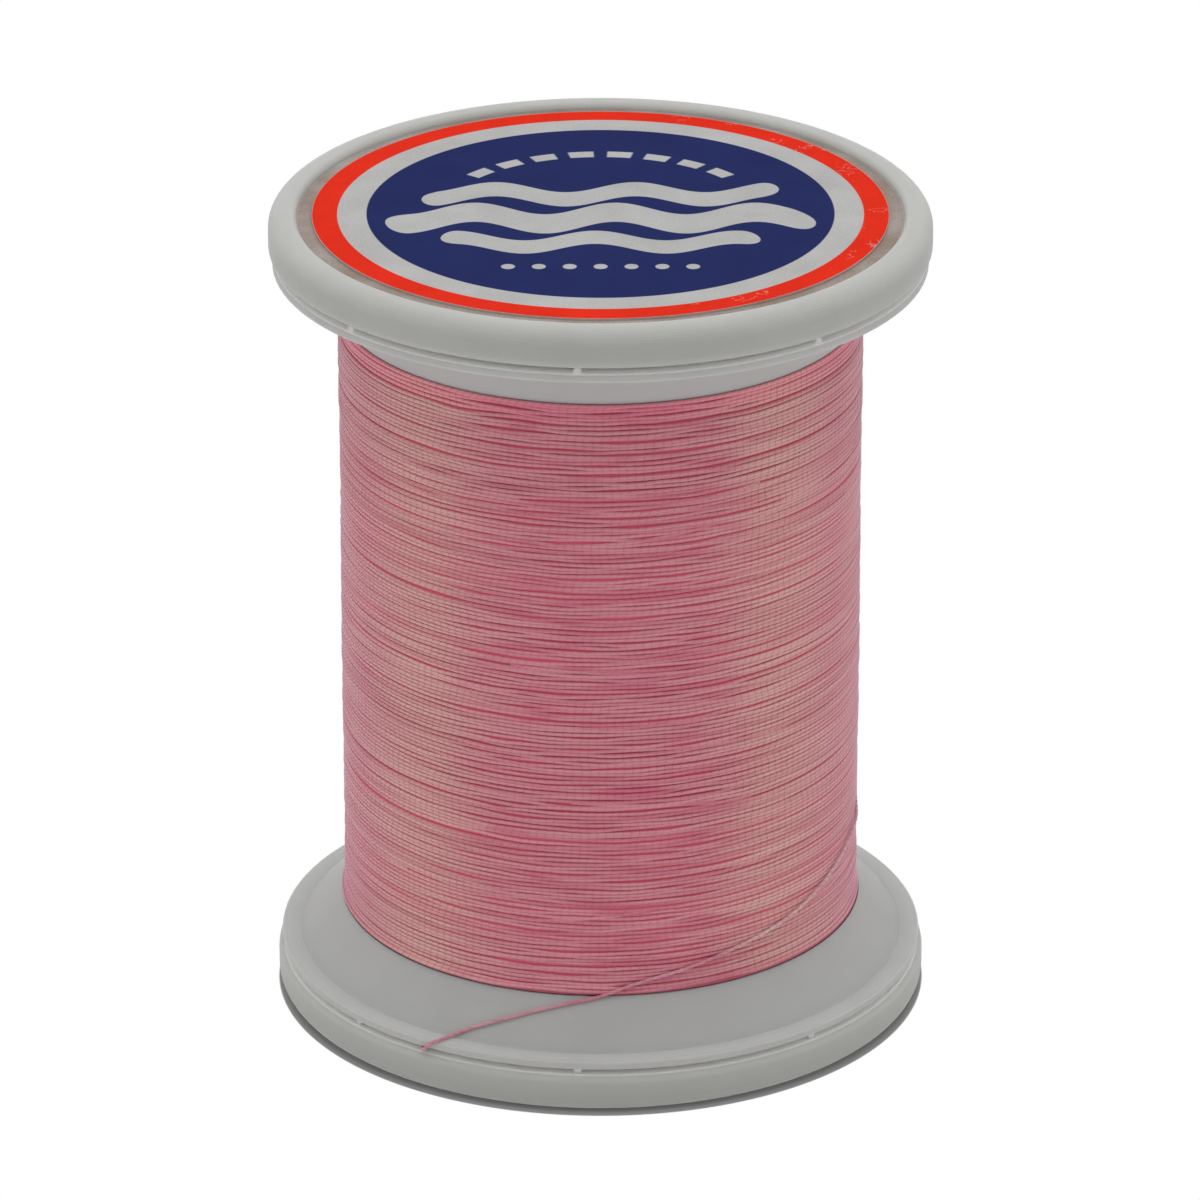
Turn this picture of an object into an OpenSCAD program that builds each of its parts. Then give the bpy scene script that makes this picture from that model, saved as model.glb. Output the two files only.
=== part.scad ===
// Thread spool for rod winding, with snap-in end caps.
// +Z runs along the spool's axis, and the origin is the centre of its base.

/* [Spool body] */
// Height over both end caps
spool_h = 44.4; // [40:0.1:52]
// Diameter of the two flange discs
disc_d = 34.6; // [32:0.1:40]
// Thickness of a disc at its rim
disc_t = 0.47; // [0.4:0.01:0.9]
// Width of the flat ring inside a disc's rim
land_w = 1.05; // [0.6:0.05:1.6]
// Slope of the flared flange, from the plane of the disc
flare_angle = 45; // [38:1:50]
// Outside diameter of the barrel
barrel_d = 23.5; // [21:0.1:25]
// Wall of the barrel and of the flared flanges
wall = 1.2; // [1:0.05:1.5]
// Rounding of the disc's rim
disc_edge = 0.12; // [0.05:0.01:0.18]

/* [Thread catch] */
// Slot between a disc and its cap, in which the thread's end is held
catch_gap = 0.33; // [0.28:0.01:0.6]
// Nubs round each disc that keep the slot open
nub_count = 8; // [4:1:12]
// Width of a nub
nub_w = 0.5; // [0.3:0.05:0.8]
// Length of a nub, towards the axis
nub_l = 1.1; // [0.6:0.1:1.8]
// Distance of the nubs from the rim
nub_inset = 0.22; // [0.2:0.01:0.4]
// Turn of the ring of nubs about the axis
nub_turn = -4; // [-20:1:20]

/* [End caps] */
// How far a cap's edge stands out over the disc's
cap_overhang = 0.2; // [0.1:0.05:0.6]
// Height of a cap's rim
cap_t = 2.12; // [1.9:0.01:2.8]
// Width of the raised rim
rim_w = 1.5; // [1.4:0.1:2.5]
// Depth of the recess inside the rim
recess_depth = 0.4; // [0.3:0.05:0.6]
// Rounding of the rim's outer shoulder
shoulder_r = 0.85; // [0.4:0.05:0.9]
// Rounding of the rim's edge at the slot
lip_r = 0.4; // [0.1:0.05:0.5]
// Thickness of the cap's web
web_t = 1.15; // [0.9:0.05:1.3]
// Width of the ring that faces the disc
face_w = 2.9; // [2:0.1:3.2]
// Ribs round the inside of a cap
rib_count = 8; // [4:1:12]
// Thickness of a rib
rib_t = 0.9; // [0.6:0.1:1.2]
// Height of the ribs between the boss and the snap ring
rib_h = 2; // [1:0.1:3]

/* [Snap ring and spindle boss] */
// Clearance of the snap ring in the barrel
snap_clear = 0.12; // [0.08:0.01:0.2]
// Wall of the snap ring
snap_wall = 1.2; // [0.9:0.05:1.4]
// Height of the snap bead over the ring
bead_h = 0.28; // [0.2:0.01:0.35]
// Length of the bead's full height
bead_l = 0.6; // [0.4:0.1:1]
// Depth of the groove in the barrel
groove_depth = 0.4; // [0.32:0.01:0.5]
// Length of plain bore that holds the bead back when the cap is pulled out
throat_l = 1.4; // [1:0.1:2]
// Travel of a cap from shut to open
cap_travel = 2.5; // [1:0.1:3]
// Slots that cut the snap ring into fingers
finger_count = 4; // [3:1:6]
// Width of a finger slot
finger_slot = 1.4; // [0.8:0.1:2]
// Bore for a spindle
spindle_d = 7.5; // [6:0.1:8.5]
// Wall of the spindle boss
boss_wall = 1.25; // [1:0.05:1.4]
// Length of the boss, from the floor of the recess
boss_l = 7.95; // [5:0.05:10]
// Chamfer at the mouth of the spindle bore
mouth_chamfer = 0.4; // [0.2:0.05:0.6]

/* [Thread] */
// Diameter of the thread
thread_d = 0.24; // [0.2:0.01:0.27]
// Diameter of the full winding
winding_d = 27.76; // [25.8:0.02:28]
// Thickness of one modelled turn, which is a band of about six real turns
turn_d = 0.9; // [0.6:0.05:1.2]
// Least space between two neighbouring turns
turn_gap = 0.45; // [0.42:0.01:0.6]
// Space between the thread and what it lies on
thread_clear = 0.04; // [0.02:0.01:0.06]

/* [Label] */
// Gap between the label's edge and the wall of the recess
label_margin = 0.8; // [0.5:0.05:4]
// Thickness of the label
label_t = 0.1; // [0.05:0.01:0.2]
// How far off centre the label is stuck
label_shift = 0.3; // [0:0.05:0.4]

/* [Hidden] */

round_fn = 96;
arc_steps = 8;
over = 1;                                 // how far a cut runs past what it cuts

disc_r = disc_d / 2;
cap_r = disc_r + cap_overhang;
barrel_r = barrel_d / 2;
bore_r = barrel_r - wall;
flare = tan(flare_angle);
land_r = disc_r - land_w;
disc_low = cap_t + catch_gap;             // outer face of the lower disc
disc_high = disc_low + disc_t;            // its inner face
function flare_z(r) = disc_high + flare * (land_r - r);
wall_rise = wall / cos(flare_angle);      // the flared wall, measured along the axis
throat_z = flare_z(bore_r) - wall_rise;   // where the bore opens into the hollow flange
hollow_r = land_r - (disc_low - disc_high + wall_rise) / flare;

recess_r = cap_r - rim_w;
web_z = recess_depth + web_t;
face_r = cap_r - face_w;
ring_r = bore_r - snap_clear;
bead_r = ring_r + bead_h;
groove_r = bore_r + groove_depth;
bead_out = bead_r - bore_r;               // how far the bead stands into the groove
groove_low = throat_z + throat_l;
bead_low = groove_low + bead_out + snap_clear + cap_travel;
bead_high = bead_low + bead_l;
groove_high = bead_high + bead_out + snap_clear;
ring_top = bead_high + 2 * bead_h;
ring_in = ring_r - snap_wall;
boss_r = spindle_d / 2 + boss_wall;
boss_top = recess_depth + boss_l;
finger_root = web_z + rib_h + wall;

winding_r = winding_d / 2;
turn_r = winding_r - turn_d / 2;          // centre line of the turns
ring_steps = 24;                          // rings of the tube in one turn
turn_sides = 6;
chord_dip = turn_r * (1 - cos(180 / ring_steps));
pack_r = turn_r - turn_d / 2 - chord_dip - thread_clear;
turn_low = flare_z(turn_r) + (turn_d / 2 + thread_clear) / cos(flare_angle);
turn_span = spool_h - 2 * turn_low;
turns = floor(turn_span / (turn_d + turn_gap));
turn_pitch = turn_span / turns;
turn_start = 128;                         // azimuth of the first turn's end
tail_sides = 8;
tail_steps = 4;                           // rings between two points of the tail
tail_start = 92;                          // azimuth at which it comes out from between two turns
tail_lie = thread_d / 2 + thread_clear;
tail_low = flare_z(winding_r);
tail_high = turn_low + turn_pitch * (3.5 + (tail_start - turn_start) / 360);
slot_mid = cap_t + catch_gap / 2;

function on_turns(azimuth, share) = [azimuth, winding_r + tail_lie, tail_low + share * (tail_high - tail_low)];
function on_flare(azimuth, share) =
    let (r = winding_r + share * (land_r - winding_r)) [azimuth, r, flare_z(r) + tail_lie / cos(flare_angle)];

// The loose end: [azimuth, radius, height], over the turns, down the flare, round the rim and into the slot
tail_points = [
    [tail_start, winding_r - 0.6 * thread_d, tail_high],
    [85, winding_r + 0.4 * thread_d, tail_low + 0.93 * (tail_high - tail_low)],
    on_turns(78, 0.84), on_turns(66, 0.69), on_turns(54, 0.53), on_turns(43, 0.41),
    on_turns(31, 0.31), on_turns(19, 0.2), on_turns(8, 0.1),
    on_flare(-1, 0.1), on_flare(-10, 0.3), on_flare(-20, 0.62), on_flare(-24.5, 0.83),
    [-27.5, land_r + 0.6 * tail_lie, disc_high + 1.2 * tail_lie],
    [-29.2, disc_r - tail_lie, disc_high + 1.1 * tail_lie],
    [-29.8, disc_r + tail_lie, disc_high],
    [-30.2, disc_r + 0.9 * tail_lie, disc_low],
    [-31, disc_r - tail_lie, slot_mid],
    [-34, disc_r - land_w, slot_mid],
    [-38.5, disc_r - 1.7 * land_w, slot_mid]
];

function arc(centre, r, from, to) =
    [for (i = [0 : arc_steps]) let (a = from + (to - from) * i / arc_steps)
        centre + r * [cos(a), sin(a)]];
function mirrored(profile) =
    [for (i = [len(profile) - 1 : -1 : 0]) [profile[i].x, spool_h - profile[i].y]];
function polar(p) = [p[1] * sin(p[0]), -p[1] * cos(p[0]), p[2]];
function unit(v) = v / norm(v);

// A point on a smooth curve through four points, at t from the second to the third
function curve_point(a, b, c, d, t) =
    (2 * b + (c - a) * t + (2 * a - 5 * b + 4 * c - d) * t * t + (3 * b - a - 3 * c + d) * t * t * t) / 2;
function smooth_path(points, steps) = let (n = len(points)) concat(
    [for (i = [0 : n - 2], k = [0 : steps - 1])
        curve_point(points[max(i - 1, 0)], points[i], points[i + 1], points[min(i + 2, n - 1)], k / steps)],
    [points[n - 1]]);

// Least gap between turns of a path that lie at least half a turn apart, measured on its points
function self_gap(path, d, apart) =
    min([for (i = [0 : len(path) - 1 - apart], j = [i + apart : min(i + 2 * apart + 2, len(path) - 1)])
        norm(path[i] - path[j])]) - d;

// A closed tube along a path; each ring faces along the path there, and one flat of it faces the axis
module tube(path, d, sides) {
    n = len(path);
    rings = [for (i = [0 : n - 1]) let (
        along = unit(path[min(i + 1, n - 1)] - path[max(i - 1, 0)]),
        side = unit(cross(along, [path[i].x, path[i].y, 0])),
        out = cross(side, along))
        for (k = [0 : sides - 1]) let (a = 360 * (k + 0.5) / sides)
            path[i] + d / 2 * (cos(a) * out + sin(a) * side)];
    skin = [for (i = [0 : n - 2], k = [0 : sides - 1]) let (
        p = i * sides + k,
        q = i * sides + (k + 1) % sides)
        each [[p, q, q + sides], [p, q + sides, p + sides]]];
    first = [for (k = [1 : sides - 2]) [0, k + 1, k]];
    last = [for (k = [1 : sides - 2]) (n - 1) * sides * [1, 1, 1] + [0, k, k + 1]];
    polyhedron(concat(rings), concat(skin, first, last));
}

// Barrel and both flared flanges, in one moulding, with eight nubs on the outside of each disc
module spool_body() {
    lower = concat(
        [[bore_r, groove_high + groove_depth - bead_out],
         [groove_r, groove_high - bead_out],
         [groove_r, groove_low + groove_depth],
         [bore_r, groove_low],
         [bore_r, throat_z],
         [hollow_r, disc_low]],
        arc([disc_r - disc_edge, disc_low + disc_edge], disc_edge, -90, 0),
        arc([disc_r - disc_edge, disc_high - disc_edge], disc_edge, 0, 90),
        [[land_r, disc_high],
         [barrel_r, flare_z(barrel_r)]]);
    color("whitesmoke") {
        rotate_extrude($fn = round_fn) polygon(concat(lower, mirrored(lower)));
        nubs();
        translate([0, 0, spool_h]) mirror([0, 0, 1]) nubs();
    }
}

// Tapered nubs under a disc, which end just clear of the cap
module nubs() {
    nub_end = cap_t + thread_clear;
    for (i = [0 : nub_count - 1])
        rotate(nub_turn + i * 360 / nub_count)
            translate([0, nub_inset - disc_r, 0])
                rotate([-90, 0, 0])
                    linear_extrude(nub_l)
                        polygon([[-nub_w / 2, -disc_low - disc_t / 2], [nub_w / 2, -disc_low - disc_t / 2],
                                 [nub_w / 2, -disc_low], [nub_w / 4, -nub_end],
                                 [-nub_w / 4, -nub_end], [-nub_w / 2, -disc_low]]);
}

// End cap, drawn as the lower one: raised rim, web, spindle boss and a ring of snap fingers
module cap() {
    crest_in = recess_r + recess_depth;
    difference() {
        union() {
            rotate_extrude($fn = round_fn)
                polygon(concat(
                    [[0, recess_depth]],
                    arc([crest_in, recess_depth], recess_depth, 180, 270),
                    arc([cap_r - shoulder_r, shoulder_r], shoulder_r, -90, 0),
                    arc([cap_r - lip_r, cap_t - lip_r], lip_r, 0, 90),
                    [[face_r, cap_t], [face_r, web_z],
                     [ring_r, web_z],
                     [ring_r, bead_low - bead_h], [bead_r, bead_low], [bead_r, bead_high],
                     [ring_r, bead_high + bead_h], [ring_r - bead_h, ring_top],
                     [ring_in, ring_top], [ring_in, web_z],
                     [boss_r, web_z], [boss_r, boss_top], [0, boss_top]]));
            for (i = [0 : rib_count - 1])
                rotate(i * 360 / rib_count) {
                    translate([boss_r - rib_t / 2, -rib_t / 2, web_z - web_t / 2])
                        cube([ring_in - boss_r + rib_t, rib_t, web_t / 2 + rib_h]);
                    translate([ring_r - rib_t / 2, -rib_t / 2, web_z - web_t / 2])
                        cube([face_r - ring_r + rib_t, rib_t, (cap_t - web_z + web_t) / 2]);
                }
        }
        translate([0, 0, recess_depth - over]) cylinder(d = spindle_d, h = boss_l + 2 * over, $fn = round_fn);
        translate([0, 0, recess_depth - over])
            cylinder(r1 = spindle_d / 2 + mouth_chamfer + over, r2 = spindle_d / 2, h = mouth_chamfer + over,
                     $fn = round_fn);
        for (i = [0 : finger_count - 1])
            rotate((i + 0.5) * 360 / finger_count)
                translate([boss_r + rib_t / 2, -finger_slot / 2, finger_root])
                    cube([bead_r - boss_r + over, finger_slot, ring_top - finger_root + over]);
    }
}

module bottom_cap() {
    color("gainsboro") cap();
}

module top_cap() {
    color("gainsboro") translate([0, 0, spool_h]) mirror([0, 0, 1]) cap();
}

// The inner layers of thread, which fill the space between barrel and flares
module thread_pack() {
    inner = barrel_r + thread_clear;
    rise = thread_clear / cos(flare_angle);
    lower = [[inner, flare_z(inner) + rise], [pack_r, flare_z(pack_r) + rise]];
    color("palevioletred") rotate_extrude($fn = round_fn) polygon(concat(lower, mirrored(lower)));
}

// The outer layer: one unbroken tube that climbs from flare to flare, with straight ends
module thread_turns() {
    step = 360 / ring_steps;
    rings = turns * ring_steps;
    helix = [for (i = [0 : rings]) polar([turn_start + i * step, turn_r, turn_low + turn_pitch * i / ring_steps])];
    start = helix[0] + turn_d * unit(helix[0] - polar([turn_start + 1, turn_r, turn_low]));
    end = helix[rings] + turn_d * unit(polar([turn_start + 1, turn_r, 0]) - polar([turn_start, turn_r, 0]));
    path = concat([start], helix, [end]);
    echo(least_gap_between_turns = self_gap(helix, turn_d, ring_steps / 2));
    color("lightpink") tube(path, turn_d, turn_sides);
}

// The thread's loose end, from between two turns to the slot between disc and cap
module thread_tail() {
    path = smooth_path([for (p = tail_points) polar(p)], tail_steps);
    color("hotpink") tube(path, thread_d, tail_sides);
}

// Round paper label in the recess of the top cap, over the spindle bore
module top_label() {
    color("tomato")
        translate([0, label_shift, spool_h - recess_depth])
            cylinder(r = recess_r - label_margin, h = label_t, $fn = round_fn);
}

spool_body();
bottom_cap();
top_cap();
thread_pack();
thread_turns();
thread_tail();
top_label();
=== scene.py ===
import math
import random

import bpy
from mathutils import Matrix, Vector


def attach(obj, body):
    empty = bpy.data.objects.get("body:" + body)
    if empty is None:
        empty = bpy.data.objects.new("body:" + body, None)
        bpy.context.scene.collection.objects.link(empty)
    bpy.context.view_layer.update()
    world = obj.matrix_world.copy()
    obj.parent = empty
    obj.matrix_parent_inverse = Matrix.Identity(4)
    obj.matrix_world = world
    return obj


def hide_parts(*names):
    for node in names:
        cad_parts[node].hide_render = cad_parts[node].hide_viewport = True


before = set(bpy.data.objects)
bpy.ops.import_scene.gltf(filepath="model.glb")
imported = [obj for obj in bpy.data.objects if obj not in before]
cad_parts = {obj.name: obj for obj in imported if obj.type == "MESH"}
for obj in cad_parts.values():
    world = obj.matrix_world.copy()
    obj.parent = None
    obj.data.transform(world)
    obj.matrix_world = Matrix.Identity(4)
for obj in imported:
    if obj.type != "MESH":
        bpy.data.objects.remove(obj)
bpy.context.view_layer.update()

mm = 0.001
print("frame loaded")


# wraps one output socket, so that Python operators add Math nodes
class Sock:
    def __init__(self, graph, socket):
        self.graph = graph
        self.socket = socket

    def __add__(self, other):
        return self.graph.calc("ADD", self, other)

    __radd__ = __add__

    def __sub__(self, other):
        return self.graph.calc("SUBTRACT", self, other)

    def __rsub__(self, other):
        return self.graph.calc("SUBTRACT", other, self)

    def __mul__(self, other):
        return self.graph.calc("MULTIPLY", self, other)

    __rmul__ = __mul__

    def __truediv__(self, other):
        return self.graph.calc("DIVIDE", self, other)

    def __rtruediv__(self, other):
        return self.graph.calc("DIVIDE", other, self)

    def __neg__(self):
        return self.graph.calc("MULTIPLY", self, -1.0)

    def __abs__(self):
        return self.graph.calc("ABSOLUTE", self)

    def __gt__(self, other):
        return self.graph.calc("GREATER_THAN", self, other)


# adds nodes to one tree
class Graph:
    def __init__(self, tree):
        self.tree = tree

    def put(self, socket, value):
        if isinstance(value, Sock):
            self.tree.links.new(value.socket, socket)
        elif value is not None:
            socket.default_value = value

    # any node: its settings first, then the values or links of its sockets
    def add(self, kind, settings=None, links=None, out=0):
        node = self.tree.nodes.new(kind)
        for key, value in (settings or {}).items():
            setattr(node, key, value)
        for key, value in (links or {}).items():
            self.put(node.inputs[key], value)
        return Sock(self, node.outputs[out]) if len(node.outputs) else node

    def calc(self, operation, *values):
        return self.add("ShaderNodeMath", {"operation": operation}, dict(enumerate(values)))

    def sin(self, value):
        return self.calc("SINE", value)

    def cos(self, value):
        return self.calc("COSINE", value)

    def fract(self, value):
        return self.calc("FRACT", value)

    def floor(self, value):
        return self.calc("FLOOR", value)

    def least(self, a, b):
        return self.calc("MINIMUM", a, b)

    def most(self, a, b):
        return self.calc("MAXIMUM", a, b)

    def length(self, a, b):
        return self.calc("SQRT", a * a + b * b)

    # 0 at low, 1 at high and smooth between, where low may be the greater one
    def ramp(self, value, low, high):
        return self.add("ShaderNodeMapRange", {"interpolation_type": "SMOOTHSTEP"},
                        {"Value": value, "From Min": low, "From Max": high})

    def point(self, x, y, z):
        return self.add("ShaderNodeCombineXYZ", None, {0: x, 1: y, 2: z})

    def parts(self, vector):
        node = self.add("ShaderNodeSeparateXYZ", None, {0: vector}).socket.node
        return [Sock(self, node.outputs[i]) for i in range(3)]

    def noise(self, vector, scale, detail=2.0, roughness=0.5):
        return self.add("ShaderNodeTexNoise", {"noise_dimensions": "3D"},
                        {"Vector": vector, "Scale": scale, "Detail": detail, "Roughness": roughness})

    # 1 on small specks, which lie in some of the cells of a Voronoi pattern
    def specks(self, vector, scale, threshold, outer, inner):
        cells = self.add("ShaderNodeTexVoronoi", {"feature": "F1"},
                         {"Vector": vector, "Scale": scale, "Randomness": 1.0})
        picked = self.parts(Sock(self, cells.socket.node.outputs["Color"]))[0] > threshold
        return self.ramp(cells, outer, inner) * picked

    def bump(self, height, strength, depth):
        links = {"Height": height, "Strength": strength, "Distance": depth * mm}
        return self.add("ShaderNodeBump", None, links)

    # sockets 6 and 7 are the two colours, and output 2 is the mixed one
    def mix(self, factor, a, b, blend="MIX"):
        settings = {"data_type": "RGBA", "blend_type": blend}
        return self.add("ShaderNodeMix", settings, {0: factor, 6: a, 7: b}, 2)

    def multiply(self, a, b):
        return self.mix(1.0, a, b, "MULTIPLY")


def colour(red, green, blue):
    return (red, green, blue, 1.0)


def emptyMaterial(name):
    material = bpy.data.materials.new(name)
    material.use_nodes = True
    material.node_tree.nodes.clear()
    return material, Graph(material.node_tree)


def newMaterial(name, build, constants):
    material, g = emptyMaterial(name)
    shader = g.add("ShaderNodeBsdfPrincipled", None, {**constants, **build(g)})
    g.add("ShaderNodeOutputMaterial", None, {"Surface": shader})
    return material


# the piece's own coordinates, in millimetres
def objectPoint(g):
    place = g.add("ShaderNodeTexCoord", None, None, "Object")
    return g.add("ShaderNodeVectorMath", {"operation": "SCALE"}, {0: place, "Scale": 1 / mm})


# the sizes that the pieces share, in millimetres
spool = {
    "height": 44.4,
    "discRadius": 17.3,
    "discTop": 2.92,            # height of the lower disc's upper face
    "slotMiddle": 2.285,        # height of the slot under the lower disc
    "slotHalf": 0.165,
    "landRadius": 16.25,        # where the flat ring inside a disc's rim begins
    "recessRadius": 16.0,
    "recessDepth": 0.4,
    "windingRadius": 13.88,     # outside of the thread
    "lowRadius": 14.17,         # outside of the last turns, on the lower flare
    "highRadius": 13.72,
}
halfway = spool["height"] / 2
flareFoot = spool["discTop"] + spool["landRadius"]      # height plus radius, anywhere on the lower flare


plasticLook = {
    "body": colour(0.508, 0.518, 0.506),
    "cap": colour(0.508, 0.514, 0.493),
    # painted light in the slot under each disc
    "slot": colour(0.95, 0.95, 0.92),
    # painted light on the flat ring inside each disc's rim
    "landLightTint": colour(1.11, 1.19, 1.19),
    # painted shade towards the foot
    "footShadeTint": colour(0.86, 0.88, 0.87),
    # painted shade and a painted reddish reflection of the label
    "recess": colour(0.270, 0.190, 0.150),      # the floor of the recess, round the label
    "speck": colour(0.05, 0.045, 0.04),
    "shade": 0.08,          # how much the moulding varies in tone
    "grain": 0.10,
    "roughness": 0.42,
    "depth": 1.2,           # mm that light goes into the plastic
}


def plastic(tone, local):
    def build(g):
        at = objectPoint(g)
        x, y, z = g.parts(at)
        cloudy = g.noise(at, 0.35, 3.0)
        fine = g.noise(at, 6.0, 3.0, 0.6)
        drawn = g.noise(g.point(x * 0.4, y * 0.4, z * 6.0), 1.0, 2.0)     # faint marks round the piece
        shade = (cloudy - 0.5) * plasticLook["shade"] + (fine - 0.5) * 0.04 + (drawn - 0.5) * 0.03 + 1.0
        base = g.multiply(tone, g.point(shade, shade, shade))
        base = local(g, x, y, z, base, cloudy, fine)
        base = g.mix(g.specks(at, 0.3, 0.55, 0.0189, 0.01125) * 0.8, base, plasticLook["speck"])
        height = (fine - 0.5) * plasticLook["grain"] + (cloudy - 0.5) * 0.5 + (drawn - 0.5) * 0.12
        return {"Base Color": base, "Roughness": (fine - 0.5) * 0.1 + plasticLook["roughness"],
                "Normal": g.bump(height, 0.3, 0.02)}
    return build


# both sides of a slot are painted near-white, painted light that lifts the shade in the narrow slot; "away"
# is the distance from halfway up
def slotPaintedLight(g, away, base):
    off = abs(away - (halfway - spool["slotMiddle"]))
    slot = g.ramp(off, spool["slotHalf"] + 0.055, spool["slotHalf"] + 0.005)
    return g.mix(slot, base, plasticLook["slot"])


# painted light: the flat ring inside a disc's rim is painted whiter than the flare, to lift the shade that
# falls on it
def landPaintedLight(g, x, y, z, base, cloudy, fine):
    radius, away = g.length(x, y), abs(z - halfway)
    discAway = halfway - spool["discTop"]
    base = slotPaintedLight(g, away, base)
    land = (g.ramp(radius, spool["landRadius"] - 0.13, spool["landRadius"] + 0.07)
            * g.ramp(away, discAway + 0.22, discAway - 0.08)
            * g.ramp(radius, spool["discRadius"], spool["discRadius"] - 0.35))
    return g.mix(land, base, g.multiply(base, plasticLook["landLightTint"]))


# painted shade: a little grey towards the foot
def footPaintedShade(g, x, y, z, base, cloudy, fine):
    base = g.mix(g.ramp(z, 1.7, 0.1), base, g.multiply(base, plasticLook["footShadeTint"]))
    return slotPaintedLight(g, abs(z - halfway), base)


# the floor of the recess round the label is painted darker and browner in mottled patches: painted shade
# under the rim, with a painted reddish reflection of the label
def recessPaintedShade(g, x, y, z, base, cloudy, fine):
    base = slotPaintedLight(g, abs(z - halfway), base)
    inside = g.ramp(g.length(x, y), spool["recessRadius"] + 0.02, spool["recessRadius"] - 0.1)
    inside = inside * (z > spool["height"] - spool["recessDepth"] - 0.3)
    mottleAndShade = g.mix((cloudy - 0.5) * 1.2 + (fine - 0.5) * 0.8 + 0.25, plasticLook["recess"], base)
    return g.mix(inside * 0.95, base, mottleAndShade)


threadLook = {
    "light": colour(0.790, 0.377, 0.407),
    "deep": colour(0.628, 0.171, 0.233),
    "looseLight": colour(0.770, 0.470, 0.510),
    "looseDeep": colour(0.660, 0.330, 0.385),
    # painted shade in the grooves of the twist
    "groove": colour(0.400, 0.070, 0.110),
    # random deeper patches, painted stronger at the front and back as painted shade
    "mottleAndShade": colour(0.681, 0.160, 0.250),
    # painted bounce light in the valleys between turns
    "valleyBounceLight": colour(0.930, 0.300, 0.380),
    "fibre": colour(0.90, 0.42, 0.45),
    # painted sheen and shade: red, green and blue at the front, and what each step towards the sides adds;
    # the sides are painted paler, as by the side lamps' sheen, and darker towards the outline
    "paintedSheen": ((0.965, 0.055, -0.03, -0.08), (0.855, 0.38, -0.18, -0.15), (0.92, 0.17, -0.03, -0.06)),
    "tick": 0.445,           # mm between the twist's marks along the thread
    "tickShare": 0.16,       # share of that length that a mark takes
    "tickSlant": 0.15,
    "tickDepth": 0.75,
}


# "along" is in millimetres, and "around" is the direction round the thread
def threadSurface(g, light, deep):
    along = g.add("ShaderNodeAttribute", {"attribute_name": "along"}, None, "Fac")
    around = g.add("ShaderNodeAttribute", {"attribute_name": "around"}, None, "Vector")
    c, s, _ = g.parts(around)
    at = objectPoint(g)
    x, y, z = g.parts(at)
    row = g.noise(g.point(x * 0.06, y * 0.06, z * 4.6), 1.0, 2.0, 0.8)     # differs from turn to turn
    patch = g.noise(g.point(x * 0.10, y * 0.10, z * 0.5), 1.0, 2.0)
    fibre = g.noise(g.point(along * 1.6, c * 3.0, s * 3.0), 2.0, 3.0, 0.6)
    # three steps from the front, or the back, to the sides
    face = abs(y)
    side, far, rim = g.ramp(face, 13.6, 10.5), g.ramp(face, 10.0, 5.5), g.ramp(face, 5.5, 1.0)
    # deeper red patches that vary at random, painted stronger at the front and back, where the side lamps'
    # sheen does not fall, as painted shade
    mottleAndShade = g.ramp(g.noise(g.point(x * 0.24, y * 0.24, z * 1.7), 1.0, 2.0), 0.50, 0.66) * (0.55 - side * 0.4)
    twist = g.fract(along / threadLook["tick"] + s * threadLook["tickSlant"] + patch * 3.0 + row * 0.8)
    mark = g.ramp(abs(twist - 0.5) * 2.0, threadLook["tickShare"], 0.0) * g.ramp(fibre, 0.3, 0.55)
    base = g.mix(g.ramp(row, 0.42, 0.68) * 0.75 + (patch - 0.5) * 0.3, light, deep)
    base = g.mix((fibre - 0.5) * 0.7 + 0.12, base, threadLook["fibre"])
    base = g.mix(mottleAndShade, base, threadLook["mottleAndShade"])
    # painted bounce light: the sides of the threads, in the valleys between turns, are painted redder, most
    # towards the sides
    outside = spool["windingRadius"]
    valleyBounceLight = g.ramp(g.length(x, y), outside - 0.04, outside - 0.12) * g.ramp(z, 5.5, 6.0)
    base = g.mix(valleyBounceLight * (side * 0.25 + 0.6), base, threadLook["valleyBounceLight"])
    # painted shade in the grooves of the twist, stronger towards the sides, where the lamps' sheen makes the
    # marks stand out
    base = g.mix(mark * (side * 0.6 + 0.4) * threadLook["tickDepth"], base, threadLook["groove"])
    # painted sheen on the sides and painted shade towards the outline
    paintedSheen = [front + side * a + far * b + rim * c for front, a, b, c in threadLook["paintedSheen"]]
    base = g.multiply(base, g.point(*paintedSheen))
    return {"Base Color": base, "Roughness": fibre * 0.16 + 0.25 + mark * 0.3,
            "Normal": g.bump(fibre * 0.35 - mark, 0.6, 0.03)}


# painted light and shade for the layers seen in the gaps between turns: a stronger red than the outer
# thread, painted bounce light that keeps the gaps from going black
innerLook = {
    "low": colour(0.70, 0.10, 0.17),
    "high": colour(0.85, 0.22, 0.30),
    "rowHeight": 0.226,     # mm
}


def innerSurface(g):
    x, y, z = g.parts(objectPoint(g))
    # painted light and shade: the rows of turns are a colour wave on a smooth surface, light on each row and
    # dark between rows
    rowShade = g.sin(z * (2 * math.pi / innerLook["rowHeight"])) * 0.5 + 0.5
    fine = g.noise(g.point(x * 2.0, y * 2.0, z * 8.0), 1.0, 2.0)
    base = g.mix(rowShade * 0.5 + fine * 0.4, innerLook["low"], innerLook["high"])
    return {"Base Color": base, "Roughness": fine * 0.1 + 0.55, "Normal": g.bump(rowShade, 0.6, 0.06)}


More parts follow.
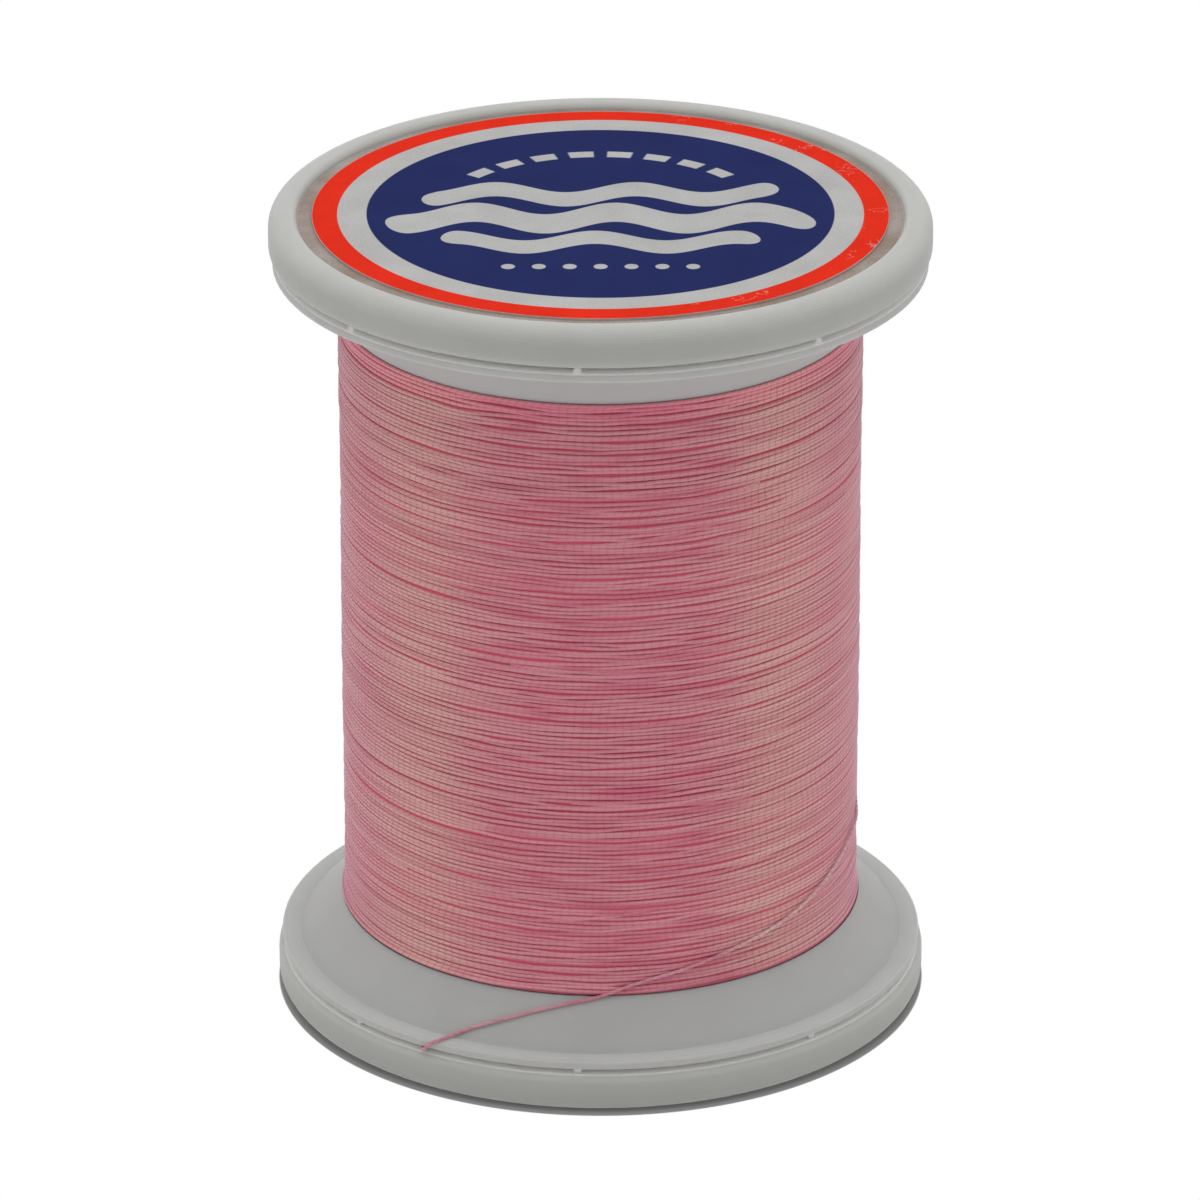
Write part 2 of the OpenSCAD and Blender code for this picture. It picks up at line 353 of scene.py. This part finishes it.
# the print, in millimetres from the label's centre, with its top away from the front
labelLook = {
    "shift": 0.3,
    "navyRadius": 12.32,
    "whiteRadius": 13.86,
    "redRadius": 15.18,
    "softEdge": 0.03,
    # middle, half length, half thickness, height of its waves and where they start
    "ribbons": ((2.6, 8.4, 1.05, 0.75, 0.0), (-0.9, 9.9, 1.4, 0.85, 0.9), (-4.4, 7.4, 0.95, 0.7, 1.8)),
    "wave": 7.4,
    "dotRow": -7.9,
    "dotReach": 5.6,        # half length of the row
    "dotPitch": 1.6,
    "dotRadius": 0.36,
    "dashRadius": 8.6,
    "dashReach": 0.94,      # radians to either side of the middle
    "dashRate": 4.2,        # dashes in a radian
    "dashHalf": 0.42,       # half thickness
    "dashShare": 0.32,      # half length, as a share of the distance between two
    "red": colour(0.80, 0.028, 0.010),
    "white": colour(0.50, 0.496, 0.486),
    "navy": colour(0.014, 0.022, 0.108),
    "print": colour(0.49, 0.49, 0.485),
    "margin": colour(0.55, 0.53, 0.50),
    "lint": colour(0.80, 0.36, 0.30),
    "speck": colour(0.03, 0.03, 0.03),
}


def labelSurface(g):
    at = objectPoint(g)
    x, y, _ = g.parts(at)
    y = y - labelLook["shift"]
    radius = g.length(x, y)

    def inside(value, limit):
        return g.ramp(value, limit + labelLook["softEdge"], limit - labelLook["softEdge"])

    # three wave ribbons of different length, a row of dots below and an arc of dashes above
    pitch = labelLook["dotPitch"]
    cellX = (g.fract(x / pitch + 0.5) - 0.5) * pitch
    dots = inside(g.length(cellX, y - labelLook["dotRow"]), labelLook["dotRadius"])
    dots = dots * inside(abs(x), labelLook["dotReach"])
    angle = g.calc("ARCTAN2", x, y)
    dashes = inside(abs(radius - labelLook["dashRadius"]), labelLook["dashHalf"])
    dashes = dashes * inside(abs(g.fract(angle * labelLook["dashRate"]) - 0.5), labelLook["dashShare"])
    shapes = g.most(dots, dashes * inside(abs(angle), labelLook["dashReach"]))
    for middle, reach, thick, tall, phase in labelLook["ribbons"]:
        ribbon = abs(y - middle - g.sin(x * (2 * math.pi / labelLook["wave"]) + phase) * tall)
        shapes = g.most(shapes, inside(g.length(ribbon, g.most(abs(x) - reach, 0.0)), thick))
    grain = g.noise(at, 9.0, 3.0, 0.6)
    cloud = g.noise(at, 0.4, 2.0)
    base = g.mix(shapes, labelLook["navy"], labelLook["print"])
    base = g.mix(inside(radius, labelLook["navyRadius"]), labelLook["white"], base)
    base = g.mix(inside(radius, labelLook["whiteRadius"]), labelLook["red"], base)
    base = g.mix(inside(radius, labelLook["redRadius"]), labelLook["margin"], base)
    # a little curled lint lies on the right of the red ring
    curl = g.ramp(abs(g.noise(at, 1.5, 1.0) - 0.5), 0.022, 0.008)
    lint = curl * g.ramp(g.noise(at, 0.55, 0.0), 0.60, 0.64) * g.ramp(x, 2.4, 3.4)
    base = g.mix(lint * g.ramp(radius, 13.9, 14.0) * 0.6, base, labelLook["lint"])
    shade = (grain - 0.5) * 0.5 + (cloud - 0.5) * 0.3 + 1.0
    base = g.multiply(base, g.point(shade, shade, shade))
    base = g.mix(g.specks(at, 0.5, 0.75, 0.03, 0.015) * 0.85, base, labelLook["speck"])
    return {"Base Color": base, "Roughness": grain * 0.12 + 0.55, "Normal": g.bump(grain, 0.15, 0.02)}


def newPlastic(name, tone, local):
    return newMaterial(name, plastic(plasticLook[tone], local), {
        "Specular IOR Level": 0.02, "Subsurface Weight": 0.7, "Subsurface Radius": (1.0, 0.97, 0.92),
        "Subsurface Scale": plasticLook["depth"] * mm})


def newThread(name, light, deep):
    return newMaterial(name, lambda g: threadSurface(g, threadLook[light], threadLook[deep]), {
        "IOR": 1.5, "Specular IOR Level": 0.12, "Sheen Weight": 0.1, "Sheen Roughness": 0.3})


bodyPlastic = newPlastic("bodyPlastic", "body", landPaintedLight)
capPlastic = newPlastic("capPlastic", "cap", footPaintedShade)
topCapPlastic = newPlastic("topCapPlastic", "cap", recessPaintedShade)
threadMaterial = newThread("windingThread", "light", "deep")
looseMaterial = newThread("looseThread", "looseLight", "looseDeep")
innerMaterial = newMaterial("innerThread", innerSurface, {"Specular IOR Level": 0.2})
labelMaterial = newMaterial("printedLabel", labelSurface, {"Specular IOR Level": 0.02})
print("materials made")


winding = {
    "diameter": 0.222,
    "pitch": 0.2257,
    "turns": 150,
    "steps": 120,
    "sides": 8,
    "startAzimuth": -180.0,
    "bunch": 6.0,                   # turns between two long gaps
    "bunchGap": 0.072,
    "scatter": 0.022,               # mm that a turn is off its even place
    "crossReach": 42.0,             # degrees to either side of the front in which a turn goes over
    "drift": 0.04,
    "wobble": 0.020,
    "frontWobble": 0.170,           # mm, where the turns go over
    "lift": 0.025,
    "turnLift": 0.050,              # mm that one turn lies higher than another
    "seed": 7.3,
}


def newGroup(name, inputs):
    group = bpy.data.node_groups.new(name, "GeometryNodeTree")
    group.interface.new_socket("Geometry", in_out="INPUT", socket_type="NodeSocketGeometry")
    for label, kind in inputs:
        group.interface.new_socket(label, in_out="INPUT", socket_type=kind)
    group.interface.new_socket("Geometry", in_out="OUTPUT", socket_type="NodeSocketGeometry")
    g = Graph(group)
    start = g.add("NodeGroupInput").socket.node
    given = {socket.name: Sock(g, socket) for socket in start.outputs if socket.name}
    return group, g, given


# sweeps a round thread along a line of points and marks it for the thread material
def sweepThread(g, line, along, diameter, sides, material):
    curve = g.add("GeometryNodeMeshToCurve", None, {"Mesh": line})
    curve = g.add("GeometryNodeStoreNamedAttribute", {"data_type": "FLOAT", "domain": "POINT"},
                  {"Geometry": curve, "Name": "along", "Value": along})
    ring = g.add("GeometryNodeCurvePrimitiveCircle", {"mode": "RADIUS"},
                 {"Resolution": sides, "Radius": diameter / 2.0})
    place = g.add("GeometryNodeInputPosition")
    unit = g.add("ShaderNodeVectorMath", {"operation": "NORMALIZE"}, {0: place})
    ring = g.add("GeometryNodeStoreNamedAttribute", {"data_type": "FLOAT_VECTOR", "domain": "POINT"},
                 {"Geometry": ring, "Name": "around", "Value": unit})
    tube = g.add("GeometryNodeCurveToMesh", None, {"Curve": curve, "Profile Curve": ring, "Fill Caps": True})
    tube = g.add("GeometryNodeSetShadeSmooth", None, {"Geometry": tube})
    tube = g.add("GeometryNodeRealizeInstances", None, {"Geometry": tube})
    tube = g.add("GeometryNodeSetMaterial", None, {"Geometry": tube, "Material": material})
    g.add("NodeGroupOutput", None, {"Geometry": tube})


# the outer layer: each point of a line is put in its place by its index
def windingGroup():
    group, g, given = newGroup("woundThread", [
        ("First Turn", "NodeSocketInt"), ("Turns", "NodeSocketInt"), ("Steps", "NodeSocketInt"),
        ("Sides", "NodeSocketInt"), ("Pitch", "NodeSocketFloat"), ("Low Height", "NodeSocketFloat"),
        ("Thread Diameter", "NodeSocketFloat"), ("Seed", "NodeSocketFloat"),
        ("Material", "NodeSocketMaterial")])
    count = given["Turns"] * given["Steps"] + 1.0
    line = g.add("GeometryNodeMeshLine", {"mode": "OFFSET"}, {"Count": count, "Offset": Vector((0, 0, mm))})
    turn = g.add("GeometryNodeInputIndex") / given["Steps"] + given["First Turn"]
    azimuth = turn * (2 * math.pi) + math.radians(winding["startAzimuth"])
    east, north = g.sin(azimuth), -g.cos(azimuth)
    seed = given["Seed"]
    number = g.floor(turn)
    share = turn - number

    def dice(which, offset=0.0):
        where = g.point(number + (offset + 0.5), seed, which)
        return g.add("ShaderNodeTexWhiteNoise", {"noise_dimensions": "3D"}, {"Vector": where}, "Value")

    def wave(spread, rate, detail=1.0):
        field = g.noise(g.point(east * spread + seed, north * spread, turn * rate + seed * 3.1), 1.0, detail)
        return (field - 0.5) * 2.0

    # where a turn lies: off its even place by a lot of its own, and in bunches with a long gap between them
    def shift(offset):
        slow = g.noise(g.point((number + offset) * 0.11, seed, 4.0), 1.0, 1.0)
        at = g.fract((number + offset) / winding["bunch"] + slow * 2.2)
        return (dice(1.0, offset) - 0.5) * (2 * winding["scatter"]) + (0.5 - at) * winding["bunchGap"]

    def lifted(offset):
        return (dice(8.0, offset) - 0.5) * winding["turnLift"]

    # it goes over from its own place to the next turn's at an azimuth of its own near the front
    middle = (dice(2.0) - 0.5) * (winding["crossReach"] / 180.0) + 0.5
    reach = dice(3.0) * 0.035 + 0.012
    before, after = shift(0.0), shift(1.0)
    crossed = g.ramp(share, middle - reach, middle + reach)
    wobble = g.ramp(north, -0.60, -0.97) * winding["frontWobble"] + winding["wobble"]
    height = (given["Low Height"] + turn * given["Pitch"]
              + (before + (after - before) * crossed
                 + wave(1.3, 0.42) * winding["drift"]
                 + wave(3.6, 1.3) * wobble) * mm)
    up = height / mm
    radius = (spool["windingRadius"] - winding["diameter"] / 2
              + g.ramp(up, 5.8, 4.9) * (spool["lowRadius"] - spool["windingRadius"])
              + g.ramp(up, 37.4, 38.9) * (spool["highRadius"] - spool["windingRadius"])
              + g.sin(up * 0.35 + 1.2) * 0.015
              + wave(1.6, 0.9) * winding["lift"]
              + (lifted(0.0) * (1.0 - crossed) + lifted(1.0) * crossed))
    # no turn sinks into a flare
    rest = winding["diameter"] / 2 * math.sqrt(2)
    lowest = (flareFoot - radius + rest) * mm
    highest = (spool["height"] - flareFoot + radius - rest) * mm
    height = g.least(g.most(height, lowest), highest)
    place = g.point(east * radius * mm, north * radius * mm, height)
    line = g.add("GeometryNodeSetPosition", None, {"Geometry": line, "Position": place})
    along = turn * (2 * math.pi * spool["windingRadius"])
    sweepThread(g, line, along, given["Thread Diameter"], given["Sides"], given["Material"])
    return group


# for threads that come as lines with their own "along"
def looseGroup():
    group, g, given = newGroup("looseThread", [
        ("Sides", "NodeSocketInt"), ("Thread Diameter", "NodeSocketFloat"),
        ("Material", "NodeSocketMaterial")])
    along = g.add("GeometryNodeInputNamedAttribute", {"data_type": "FLOAT"}, {"Name": "along"})
    sweepThread(g, given["Geometry"], along, given["Thread Diameter"], given["Sides"], given["Material"])
    return group


# runs a group on a piece and leaves a plain mesh in its place
def grow(name, mesh, group, values):
    source = bpy.data.objects.new(name, mesh)
    bpy.context.scene.collection.objects.link(source)
    modifier = source.modifiers.new("grow", "NODES")
    modifier.node_group = group
    sockets = {item.name: item.identifier for item in group.interface.items_tree
               if item.item_type == "SOCKET" and item.in_out == "INPUT"}
    for key, value in values.items():
        modifier[sockets[key]] = value
    bpy.context.view_layer.update()
    made = bpy.data.meshes.new_from_object(source.evaluated_get(bpy.context.evaluated_depsgraph_get()))
    source.modifiers.remove(modifier)
    source.data = made
    made.name = name
    return source


# each line is a list of points in millimetres
def lineMesh(name, lines):
    points, edges, lengths = [], [], []
    for line in lines:
        base, length = len(points), 0.0
        for i, p in enumerate(line):
            if i:
                length += math.dist(p, line[i - 1])
                edges.append((base + i - 1, base + i))
            points.append([v * mm for v in p])
            lengths.append(length)
    mesh = bpy.data.meshes.new(name)
    mesh.from_pydata(points, edges, [])
    mesh.attributes.new("along", "FLOAT", "POINT").data.foreach_set("value", lengths)
    return mesh


def polar(azimuth, radius, height):
    a = math.radians(azimuth)
    return (radius * math.sin(a), -radius * math.cos(a), height)


# a smooth curve through the points, with so many steps from one to the next
def smoothLine(points, steps):
    out = []
    last = len(points) - 1
    for i in range(last):
        a, b, c, d = points[max(i - 1, 0)], points[i], points[i + 1], points[min(i + 2, last)]
        for k in range(steps):
            t = k / steps
            out.append(tuple((2 * q + (r - p) * t + (2 * p - 5 * q + 4 * r - s) * t * t
                              + (3 * q - p - 3 * r + s) * t ** 3) / 2 for p, q, r, s in zip(a, b, c, d)))
    out.append(points[last])
    return out


lowHeight = (flareFoot - spool["lowRadius"] + winding["diameter"] * 0.9) * mm
wound = windingGroup()
halfTurns = winding["turns"] // 2
windingPieces = []
for name, first in (("threadWindingLow", 0), ("threadWindingHigh", halfTurns)):
    piece = grow(name, bpy.data.meshes.new(name), wound, {
        "First Turn": first, "Turns": halfTurns, "Steps": winding["steps"], "Sides": winding["sides"],
        "Pitch": winding["pitch"] * mm, "Low Height": lowHeight, "Thread Diameter": winding["diameter"] * mm,
        "Seed": winding["seed"], "Material": threadMaterial})
    windingPieces.append(piece)
    print(name, len(piece.data.vertices))
print("winding made")


# short stretches of thread that lie across their neighbours
crossing = {
    "count": 30,
    "shortest": 12,         # degrees
    "longest": 60,
    "lowest": 6.5,
    "highest": 37.5,
    "step": 2.0,            # degrees from one point to the next
    "rise": 0.056,
    "seed": 31,
}


def crossingLines():
    dice = random.Random(crossing["seed"])
    lines = []
    for _ in range(crossing["count"]):
        start = dice.uniform(-180, 180)
        span = dice.uniform(crossing["shortest"], crossing["longest"])
        height = dice.uniform(crossing["lowest"], crossing["highest"])
        climb = dice.choice((-1, 1)) * dice.uniform(1.5, 4.0) * winding["pitch"]
        bend = dice.uniform(0.6, 1.6)
        points = []
        steps = int(span / crossing["step"])
        for i in range(steps + 1):
            share = i / steps
            swell = math.sin(math.pi * share) ** 0.6
            radius = spool["windingRadius"] - winding["diameter"] * 0.75 + crossing["rise"] * swell
            points.append(polar(start + span * share, radius, height + climb * share ** bend))
        lines.append(points)
    return lines


loose = looseGroup()
crossings = grow("threadCrossings", lineMesh("threadCrossings", crossingLines()), loose, {
    "Sides": winding["sides"], "Thread Diameter": winding["diameter"] * mm, "Material": threadMaterial})


# the loose end: over the turns, down the flare, round the rim and into the slot
tail = {
    "plies": 3,
    "lay": 1.1,             # mm in which the plies go round once
    "plyDiameter": 0.098,
    "plyOffset": 0.045,
    "lie": 0.12,            # mm from a surface to the middle of the thread on it
    "leaves": 11.0945,      # height at which it comes out of the outer layer
    "steps": 26,            # from one point of the route to the next
}


def tailPoints():
    windingRadius, landRadius, discRadius = spool["windingRadius"], spool["landRadius"], spool["discRadius"]
    discTop, slot, lie = spool["discTop"], spool["slotMiddle"], tail["lie"]
    low, high = flareFoot - windingRadius, tail["leaves"]

    def onTurns(azimuth, share):
        return (azimuth, windingRadius + lie, low + share * (high - low))

    def onFlare(azimuth, share):
        radius = windingRadius + share * (landRadius - windingRadius)
        return (azimuth, radius, flareFoot - radius + lie * math.sqrt(2))

    # azimuth, radius and height
    route = [
        (92, windingRadius - 0.17, high), (85, windingRadius - 0.04, low + 0.93 * (high - low)),
        onTurns(78, 0.84), onTurns(66, 0.69), onTurns(54, 0.53), onTurns(43, 0.41), onTurns(31, 0.31),
        onTurns(19, 0.2), onTurns(8, 0.1), onFlare(-1, 0.12), onFlare(-10, 0.3), onFlare(-20.2, 0.62),
        onFlare(-24.5, 0.79), (-27.65, landRadius - 0.12, discTop + 0.27),
        (-29.05, landRadius + 0.25, discTop + lie), (-29.95, discRadius - 0.1, discTop + 0.11),
        (-30.6, discRadius + 0.07, discTop + 0.04), (-31.6, discRadius + 0.12, discTop - 0.22),
        (-32.6, discRadius + 0.07, slot + 0.12),
        (-33.4, discRadius - 0.2, slot), (-33.9, discRadius - 0.7, slot),
        (-34.5, discRadius - 1.3, slot), (-35.5, discRadius - 1.785, slot)]
    return [polar(*p) for p in route]


# the plies wind round the route
def plyLines():
    path = [Vector(p) for p in smoothLine(tailPoints(), tail["steps"])]
    lines = [[] for _ in range(tail["plies"])]
    run = 0.0
    for i, p in enumerate(path):
        along = (path[min(i + 1, len(path) - 1)] - path[max(i - 1, 0)]).normalized()
        if i:
            run += (p - path[i - 1]).length
        side = along.cross(Vector((p.x, p.y, 0)).normalized()).normalized()
        out = side.cross(along)
        for k, line in enumerate(lines):
            a = 2 * math.pi * (run / tail["lay"] + k / tail["plies"])
            line.append(tuple(p + tail["plyOffset"] * (math.cos(a) * out + math.sin(a) * side)))
    return lines


tailPiece = grow("threadTail", lineMesh("threadTail", plyLines()), loose, {
    "Sides": winding["sides"], "Thread Diameter": tail["plyDiameter"] * mm, "Material": looseMaterial})
print("loose end made", len(tailPiece.data.vertices))


# the layers under the outer turns
inner = {
    "radius": 11.8,         # just off the barrel
    "clear": 0.05,          # mm off the flares
    "segments": 180,
}


# turns a closed outline of radii and heights about the axis
def revolve(name, outline, material, segments):
    verts, faces = [], []
    count = len(outline)
    for i in range(segments):
        a = 2 * math.pi * i / segments
        for radius, height in outline:
            verts.append((radius * math.sin(a) * mm, -radius * math.cos(a) * mm, height * mm))
    for i in range(segments):
        here, beside = i * count, (i + 1) % segments * count
        for k in range(count):
            after = (k + 1) % count
            faces.append((here + k, beside + k, beside + after, here + after))
    mesh = bpy.data.meshes.new(name)
    mesh.from_pydata(verts, [], faces)
    mesh.polygons.foreach_set("use_smooth", [True] * len(mesh.polygons))
    mesh.materials.append(material)
    piece = bpy.data.objects.new(name, mesh)
    bpy.context.scene.collection.objects.link(piece)
    return piece


def innerOutline():
    bore, top = inner["radius"], spool["height"]
    foot = flareFoot + inner["clear"] * math.sqrt(2)
    sink = winding["diameter"] * 0.66
    low, skin, high = (spool[key] - sink for key in ("lowRadius", "windingRadius", "highRadius"))
    return [(bore, foot - bore), (low, foot - low), (low * 0.3 + skin * 0.7, 5.4), (skin, 5.8), (skin, 37.4),
            (high, 38.7), (high, top - foot + high), (bore, top - foot + bore)]


innerPiece = revolve("threadInnerLayers", innerOutline(), innerMaterial, inner["segments"])
print("inner layers made")


for node, material in (("spool_body", bodyPlastic), ("bottom_cap", capPlastic), ("top_cap", topCapPlastic),
                       ("top_label", labelMaterial)):
    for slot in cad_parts[node].material_slots:
        slot.material = material

for piece in windingPieces:
    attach(piece, "spool")
    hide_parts("thread_turns")
for piece, node in ((innerPiece, "thread_pack"), (tailPiece, "thread_tail")):
    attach(piece, "spool")
    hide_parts(node)
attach(crossings, "spool")
print("pieces ride on the spool")


studio = {
    "ambient": 0.485,
    "floorTone": 0.86,
    "floorHalf": 3000,       # mm
    "floorDrop": 2.6,        # mm under the foot, which leaves the lower cap room when it is pulled
    "footTone": 0.38,        # strip round the foot, where the shadow gathers
    "footInside": 16.40,     # mm
    "footOutside": 17.51,
    "footShift": 0.24,       # mm, towards the front
    "middle": (0, 0, 0.022),     # metres, as are the lamps' places and sizes
    "top": 0.51,
    "topPlace": (0, 0.03, 0.75),
    "topSize": (0.7, 0.7),
    "side": 0.055,
    "sideDistance": 0.8,
    "sideSize": (0.35, 0.5),
    "sideAzimuth": 75,
    "sideRise": 20,
}


# the picture shows the background white, and so does what mirrors it or lets it through
def backgroundRays(g):
    camera, glossy, through = [g.add("ShaderNodeLightPath", None, None, kind)
                               for kind in ("Is Camera Ray", "Is Glossy Ray", "Is Transmission Ray")]
    return g.most(g.most(camera, glossy), through)


def stageMesh(name, verts, faces):
    mesh = bpy.data.meshes.new(name)
    mesh.from_pydata([(x * mm, y * mm, z * mm) for x, y, z in verts], [], faces)
    piece = bpy.data.objects.new(name, mesh)
    bpy.context.scene.collection.objects.link(piece)
    material, g = emptyMaterial(name + "Tone")
    mesh.materials.append(material)
    return piece, g


def grey(tone):
    return colour(tone, tone, tone)


def makeFloor():
    half, down = studio["floorHalf"], -studio["floorDrop"]
    corners = [(-half, -half, down), (half, -half, down), (half, half, down), (-half, half, down)]
    floor, g = stageMesh("floor", corners, [(0, 1, 2, 3)])
    seen = g.add("ShaderNodeEmission", None, {"Color": grey(1), "Strength": 1.0})
    plain = g.add("ShaderNodeBsdfDiffuse", None, {"Color": grey(studio["floorTone"])})
    both = g.add("ShaderNodeMixShader", None, {0: backgroundRays(g), 1: plain, 2: seen})
    g.add("ShaderNodeOutputMaterial", None, {"Surface": both})


# a ring on the ground that only the picture sees, dark under the foot's edge
def makeFootShadow():
    steps, soft = 180, 0.06
    radii = (studio["footInside"], studio["footOutside"] + soft)
    turns = [2 * math.pi * i / steps for i in range(steps)]
    verts = [(r * math.cos(a), r * math.sin(a) - studio["footShift"], 0.004) for r in radii for a in turns]
    faces = [(i, steps + i, steps + (i + 1) % steps, (i + 1) % steps) for i in range(steps)]
    ring, g = stageMesh("footShadow", verts, faces)
    x, y, _ = g.parts(objectPoint(g))
    y = y + studio["footShift"]
    inside = g.ramp(g.length(x, y), radii[1], studio["footOutside"] - 0.04)
    shown = g.add("ShaderNodeLightPath", None, None, "Is Camera Ray") * inside
    clear = g.add("ShaderNodeBsdfTransparent")
    tone = g.add("ShaderNodeBsdfDiffuse", None, {"Color": grey(studio["footTone"])})
    both = g.add("ShaderNodeMixShader", None, {0: shown, 1: clear, 2: tone})
    g.add("ShaderNodeOutputMaterial", None, {"Surface": both})


def makeWorld():
    world = bpy.data.worlds.new("studio")
    bpy.context.scene.world = world
    world.use_nodes = True
    world.node_tree.nodes.clear()
    g = Graph(world.node_tree)
    lit = g.add("ShaderNodeBackground", None, {"Color": grey(studio["ambient"]), "Strength": 1.0})
    seen = g.add("ShaderNodeBackground", None, {"Color": grey(1), "Strength": 1.0})
    both = g.add("ShaderNodeMixShader", None, {0: backgroundRays(g), 1: lit, 2: seen})
    g.add("ShaderNodeOutputWorld", None, {"Surface": both})


# its power follows from the level to which it lights a surface that faces it from the middle
def lamp(name, place, size, level):
    place, target = Vector(place), Vector(studio["middle"])
    data = bpy.data.lights.new(name, "AREA")
    data.shape = "RECTANGLE"
    data.size, data.size_y = size
    data.energy = level * math.pi ** 2 * (place - target).length_squared
    thing = bpy.data.objects.new(name, data)
    thing.location = place
    thing.rotation_euler = (target - place).to_track_quat("-Z", "Y").to_euler()
    bpy.context.scene.collection.objects.link(thing)


def makeLights():
    lamp("topSoftbox", studio["topPlace"], studio["topSize"], studio["top"])
    rise = math.radians(studio["sideRise"])
    reach = studio["sideDistance"] * math.cos(rise)
    for name, way in (("leftSoftbox", -1), ("rightSoftbox", 1)):
        x, y, _ = polar(way * studio["sideAzimuth"], reach, 0)
        lamp(name, (x, y, studio["sideDistance"] * math.sin(rise)), studio["sideSize"], studio["side"])


view = {
    "lens": 262.333,
    "place": (-0.000243, -0.42982, 0.20907),    # metres
    "down": 0.4106,                             # radians
    "turn": -0.0005,
}


def makeCamera():
    data = bpy.data.cameras.new("camera")
    data.sensor_width = 36
    data.lens = view["lens"]
    data.clip_start = 0.01
    camera = bpy.data.objects.new("camera", data)
    camera.location = view["place"]
    camera.rotation_euler = (math.pi / 2 - view["down"], 0, view["turn"])
    bpy.context.scene.collection.objects.link(camera)
    bpy.context.scene.camera = camera


makeFloor()
makeFootShadow()
makeWorld()
makeLights()
makeCamera()
bpy.context.scene.view_settings.view_transform = "Standard"
print("studio made")
